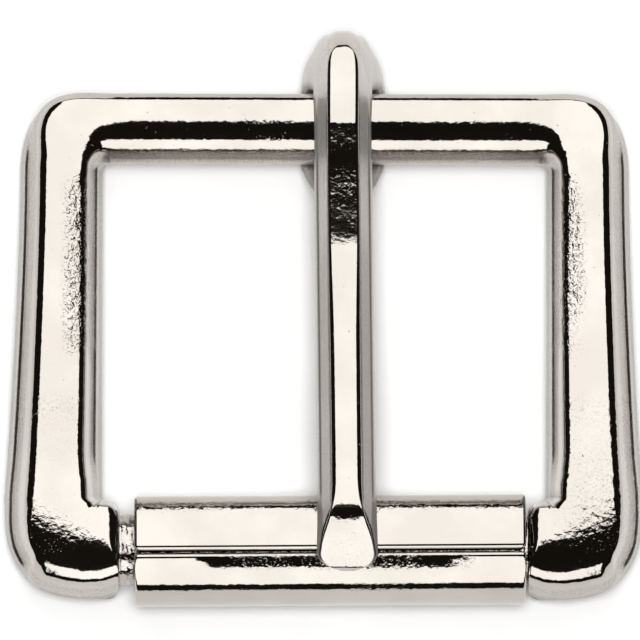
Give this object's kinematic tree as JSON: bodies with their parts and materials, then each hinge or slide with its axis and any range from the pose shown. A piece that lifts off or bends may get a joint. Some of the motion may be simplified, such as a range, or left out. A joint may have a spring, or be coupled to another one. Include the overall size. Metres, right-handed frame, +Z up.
{
  "type": "roller buckle",
  "caption": "Cast roller buckle for a strap: a frame with a round heel bar, a tongue hinged on that bar, and a rolled tube that turns on the far bar.",
  "frame": {"origin": "bottom centre of the whole buckle's box, on the surface that it lies on", "axes": "+X across the strap, +Y from the roller towards the heel bar, +Z up from the surface, out of the buckle's front"},
  "size_m": [0.0376, 0.0336, 0.0088],
  "materials": {
    "frame_nickel": "nickel-plated casting, bright, slightly rippled",
    "tongue_nickel": "nickel-plated casting, bright, slightly pitted",
    "roller_nickel": "nickel-plated rolled sheet, bright and smooth"
  },
  "bodies": {
    "frame": {"frame": "frame_nickel"},
    "tongue": {"tongue": "tongue_nickel"},
    "roller": {"roller": "roller_nickel"}
  },
  "joints": [
    {"name": "tongue_swing", "type": "hinge", "parent": "frame", "child": "tongue", "pos_m": [0.00105, 0.01111, 0.00328], "axis": [-1, 0, 0], "range_deg": [0, 330]},
    {"name": "roller_turn", "type": "hinge", "parent": "frame", "child": "roller", "pos_m": [0.00038, -0.01349, 0.0033], "axis": [1, 0.0087, 0], "continuous": true}
  ]
}
